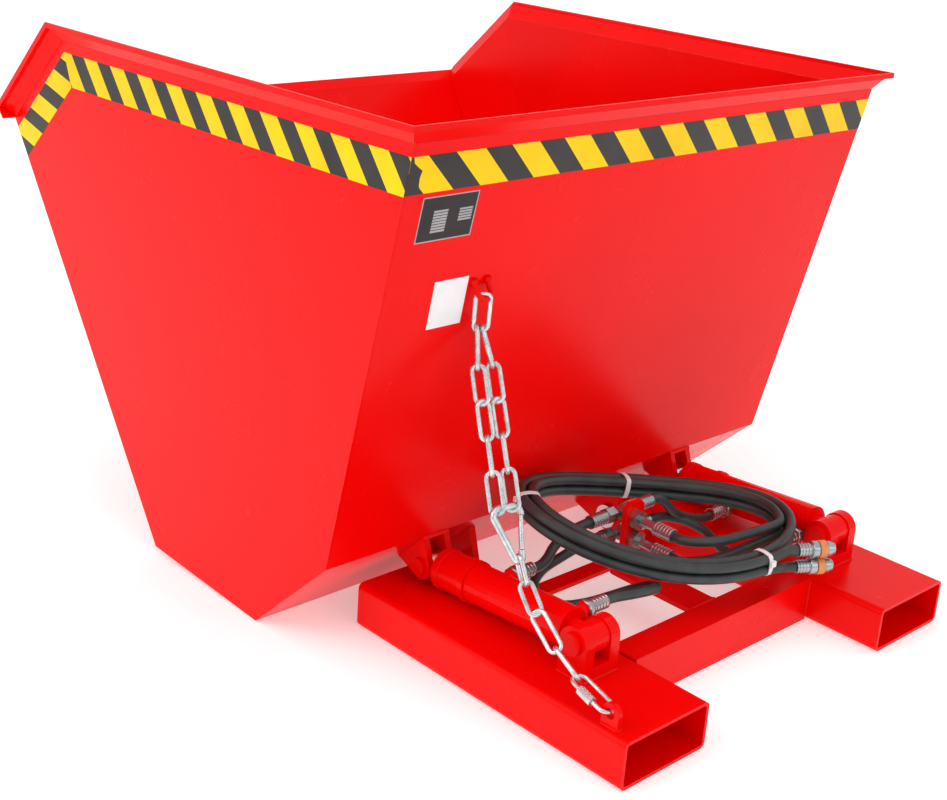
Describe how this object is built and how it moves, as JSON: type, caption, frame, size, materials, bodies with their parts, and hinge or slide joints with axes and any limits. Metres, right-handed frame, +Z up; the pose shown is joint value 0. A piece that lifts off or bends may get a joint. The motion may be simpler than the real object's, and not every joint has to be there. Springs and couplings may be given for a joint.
{
  "type": "forklift bucket",
  "caption": "Hydraulic tipping bucket for forklifts: sheet bucket hinged low on two fork pockets, pushed over by twin cylinders, with hose coil and safety chain.",
  "frame": {"origin": "on the ground, in the middle of the whole length and width", "axes": "+X to the side of the safety chain, +Y to the rear where the forks enter, +Z up"},
  "size_m": [0.99, 1.3036, 0.784],
  "materials": {
    "paint": "gloss",
    "bright_steel": "polished",
    "zinc": "galvanised",
    "fitting": "plated",
    "hose": "matt",
    "nylon": "satin"
  },
  "bodies": {
    "frame": {"fork_pocket_left": "paint", "fork_pocket_right": "paint", "rear_cross_member": "paint", "front_cross_member": "paint", "middle_beam": "paint", "hinge_bracket_left": "paint", "hinge_pin_left": "bright_steel", "hinge_bracket_right": "paint", "hinge_pin_right": "bright_steel", "cylinder_clevis_left": "paint", "clevis_pin_left": "paint", "cylinder_clevis_right": "paint", "clevis_pin_right": "paint", "manifold_plate": "paint", "bulkhead_union_lower": "fitting", "tee_lower": "fitting", "bulkhead_union_upper": "fitting", "tee_upper": "fitting", "cylinder_hose_left_rear": "hose", "cylinder_hose_left_front": "hose", "cylinder_hose_right_rear": "hose", "cylinder_hose_right_front": "hose", "supply_hose_lower": "hose", "quick_coupler_lower": "fitting", "supply_hose_upper": "hose", "quick_coupler_upper": "fitting", "cable_tie_1": "nylon", "cable_tie_2": "nylon", "cable_tie_3": "nylon", "chain_lug": "paint"},
    "bucket": {"rear_wall": "paint", "rear_slope_sheet": "paint", "floor_sheet": "paint", "front_wall": "paint", "side_wall_left": "paint", "side_wall_right": "paint", "rim_rear": "paint", "rim_left": "paint", "rim_right": "paint", "rim_front": "paint", "hinge_ear_left": "paint", "hinge_ear_right": "paint", "cylinder_lug_left": "paint", "cylinder_lug_right": "paint", "chain_staple": "zinc"},
    "barrel_left": {"cylinder_barrel_left": "paint", "cylinder_gland_left": "paint"},
    "barrel_right": {"cylinder_barrel_right": "paint", "cylinder_gland_right": "paint"},
    "rod_left": {"cylinder_rod_left": "bright_steel"},
    "rod_right": {"cylinder_rod_right": "bright_steel"},
    "chain_upper": {"chain_top_link": "zinc", "chain_strand_left": "zinc", "chain_strand_right": "zinc", "snap_hook": "zinc"},
    "gate": {"snap_hook_gate": "zinc"},
    "chain_lower": {"chain_lower_strand": "zinc", "quick_link": "zinc"},
    "nut": {"quick_link_nut": "zinc"}
  },
  "joints": [
    {"name": "bucket_tip", "type": "hinge", "parent": "frame", "child": "bucket", "pos_m": [0, 0.15176, 0.04], "axis": [1, 0, 0], "range_deg": [0, 70]},
    {"name": "barrel_swing_left", "type": "hinge", "parent": "frame", "child": "barrel_left", "pos_m": [0.273, 0.50176, 0.12], "axis": [1, 0, 0], "range_deg": [-0.551, 0.05]},
    {"name": "rod_slide_left", "type": "slide", "parent": "barrel_left", "child": "rod_left", "axis": [0, -0.9979, -0.0644], "range_m": [0, 0.08317]},
    {"name": "barrel_swing_right", "type": "hinge", "parent": "frame", "child": "barrel_right", "pos_m": [-0.273, 0.50176, 0.12], "axis": [1, 0, 0], "range_deg": [-0.551, 0.05]},
    {"name": "rod_slide_right", "type": "slide", "parent": "barrel_right", "child": "rod_right", "axis": [0, -0.9979, -0.0644], "range_m": [0, 0.08317]},
    {"name": "chain_swing", "type": "hinge", "parent": "bucket", "child": "chain_upper", "pos_m": [0.308, 0.29076, 0.543], "axis": [1, 0, 0], "range_deg": [-12, 0]},
    {"name": "hook_gate", "type": "hinge", "parent": "chain_upper", "child": "gate", "pos_m": [0.3118, 0.40272, 0.21719], "axis": [0, -0.8465, -0.5325], "range_deg": [0, 25], "stiffness_Nm_per_rad": 0.02, "springref_deg": -11.46},
    {"name": "chain_drop", "type": "hinge", "parent": "frame", "child": "chain_lower", "pos_m": [0.349, 0.61176, 0.09], "axis": [1, 0, 0], "range_deg": [0, 17.5]},
    {"name": "link_nut", "type": "slide", "parent": "chain_lower", "child": "nut", "axis": [-0.1499, -0.9811, 0.1226], "range_m": [0, 0.01]}
  ],
  "couplings": [
    {"joint": "barrel_swing_left", "follows": "bucket_tip", "ratio": -0.0071534},
    {"joint": "rod_slide_left", "follows": "bucket_tip", "m_per_rad": 0.067663},
    {"joint": "barrel_swing_right", "follows": "bucket_tip", "ratio": -0.0071534},
    {"joint": "rod_slide_right", "follows": "bucket_tip", "m_per_rad": 0.067663}
  ]
}
